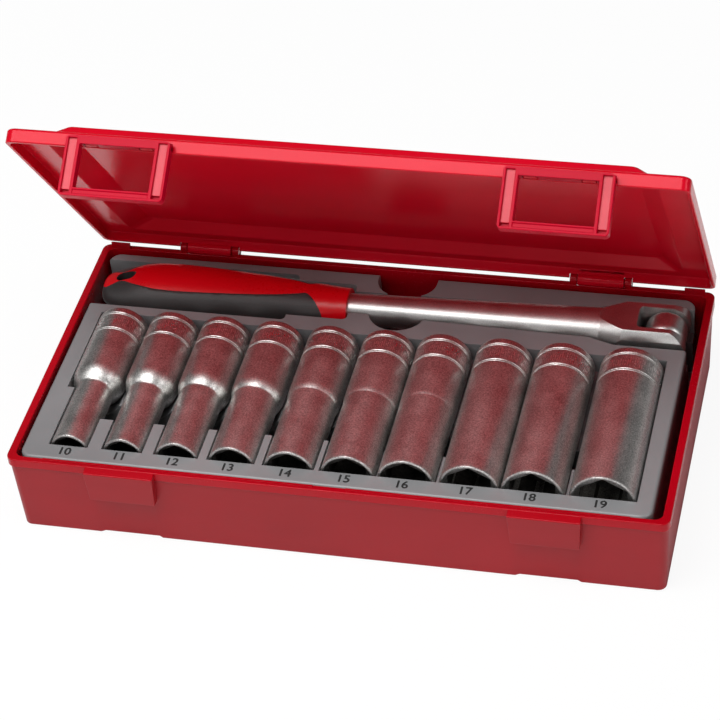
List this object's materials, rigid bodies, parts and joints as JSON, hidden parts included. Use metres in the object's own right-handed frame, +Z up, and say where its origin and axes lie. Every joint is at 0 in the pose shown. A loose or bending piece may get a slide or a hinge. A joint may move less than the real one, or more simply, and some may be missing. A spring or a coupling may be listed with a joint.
{
  "type": "socket set case",
  "caption": "Hinged translucent case with two latches and a moulded tray of deep sockets in a row and one flexible-head drive handle.",
  "frame": {"origin": "middle of the case's flat underside, on the surface that it stands on", "axes": "+X along the case towards the largest socket, +Y from the front wall with the catch pads to the hinges, +Z up"},
  "size_m": [0.265, 0.1454, 0.1566],
  "materials": {
    "clear_red": "translucent gloss",
    "grey_tray": "satin moulded",
    "socket_steel": "bead-blasted satin chrome",
    "shank_steel": "satin chrome",
    "pin_steel": "ground",
    "spring_steel": "drawn wire",
    "grip_red": "gloss",
    "grip_dark": "matte soft grip"
  },
  "bodies": {
    "case_bottom": {"base_tub": "clear_red", "socket_tray": "grey_tray"},
    "lid": {"lid": "clear_red"},
    "latch_left": {"latch_left": "clear_red"},
    "latch_right": {"latch_right": "clear_red"},
    "socket_10mm": {"socket_10mm": "socket_steel"},
    "socket_11mm": {"socket_11mm": "socket_steel"},
    "socket_12mm": {"socket_12mm": "socket_steel"},
    "socket_13mm": {"socket_13mm": "socket_steel"},
    "socket_14mm": {"socket_14mm": "socket_steel"},
    "socket_15mm": {"socket_15mm": "socket_steel"},
    "socket_16mm": {"socket_16mm": "socket_steel"},
    "socket_17mm": {"socket_17mm": "socket_steel"},
    "socket_18mm": {"socket_18mm": "socket_steel"},
    "socket_19mm": {"socket_19mm": "socket_steel"},
    "handle": {"handle_shank": "shank_steel", "grip_shell": "grip_red", "grip_overmould": "grip_dark", "pivot_pin": "pin_steel", "friction_plunger": "pin_steel", "friction_spring": "spring_steel"},
    "drive_head": {"swivel_head": "shank_steel", "detent_spring": "spring_steel"},
    "detent_ball": {"detent_ball": "pin_steel"}
  },
  "joints": [
    {"name": "lid_hinge", "type": "hinge", "parent": "case_bottom", "child": "lid", "pos_m": [0, 0.0695, 0.0385], "axis": [-1, 0, 0], "range_deg": [-54.6, 60]},
    {"name": "latch_left_pivot", "type": "hinge", "parent": "lid", "child": "latch_left", "pos_m": [-0.0848, -0.01036, 0.15338], "axis": [1, 0, 0], "range_deg": [-60, 0]},
    {"name": "latch_right_pivot", "type": "hinge", "parent": "lid", "child": "latch_right", "pos_m": [0.0848, -0.01036, 0.15338], "axis": [1, 0, 0], "range_deg": [-60, 0]},
    {"name": "socket_10mm_lift", "type": "slide", "parent": "case_bottom", "child": "socket_10mm", "axis": [0, 0, 1], "range_m": [0, 0.03]},
    {"name": "socket_11mm_lift", "type": "slide", "parent": "case_bottom", "child": "socket_11mm", "axis": [0, 0, 1], "range_m": [0, 0.03]},
    {"name": "socket_12mm_lift", "type": "slide", "parent": "case_bottom", "child": "socket_12mm", "axis": [0, 0, 1], "range_m": [0, 0.03]},
    {"name": "socket_13mm_lift", "type": "slide", "parent": "case_bottom", "child": "socket_13mm", "axis": [0, 0, 1], "range_m": [0, 0.03]},
    {"name": "socket_14mm_lift", "type": "slide", "parent": "case_bottom", "child": "socket_14mm", "axis": [0, 0, 1], "range_m": [0, 0.03]},
    {"name": "socket_15mm_lift", "type": "slide", "parent": "case_bottom", "child": "socket_15mm", "axis": [0, 0, 1], "range_m": [0, 0.03]},
    {"name": "socket_16mm_lift", "type": "slide", "parent": "case_bottom", "child": "socket_16mm", "axis": [0, 0, 1], "range_m": [0, 0.03]},
    {"name": "socket_17mm_lift", "type": "slide", "parent": "case_bottom", "child": "socket_17mm", "axis": [0, 0, 1], "range_m": [0, 0.03]},
    {"name": "socket_18mm_lift", "type": "slide", "parent": "case_bottom", "child": "socket_18mm", "axis": [0, 0, 1], "range_m": [0, 0.03]},
    {"name": "socket_19mm_lift", "type": "slide", "parent": "case_bottom", "child": "socket_19mm", "axis": [0, 0, 1], "range_m": [0, 0.03]},
    {"name": "handle_lift", "type": "slide", "parent": "case_bottom", "child": "handle", "axis": [0, 0, 1], "range_m": [0, 0.014]},
    {"name": "head_swivel", "type": "hinge", "parent": "handle", "child": "drive_head", "pos_m": [0.1153, 0.0444, 0.0335], "axis": [0, 1, 0], "range_deg": [-15, 15]},
    {"name": "detent_press", "type": "slide", "parent": "drive_head", "child": "detent_ball", "axis": [1, 0, 0], "range_m": [0, 0.0008], "stiffness_N_per_m": 1500, "springref_m": -0.0008, "deforming": ["detent_spring"]}
  ]
}
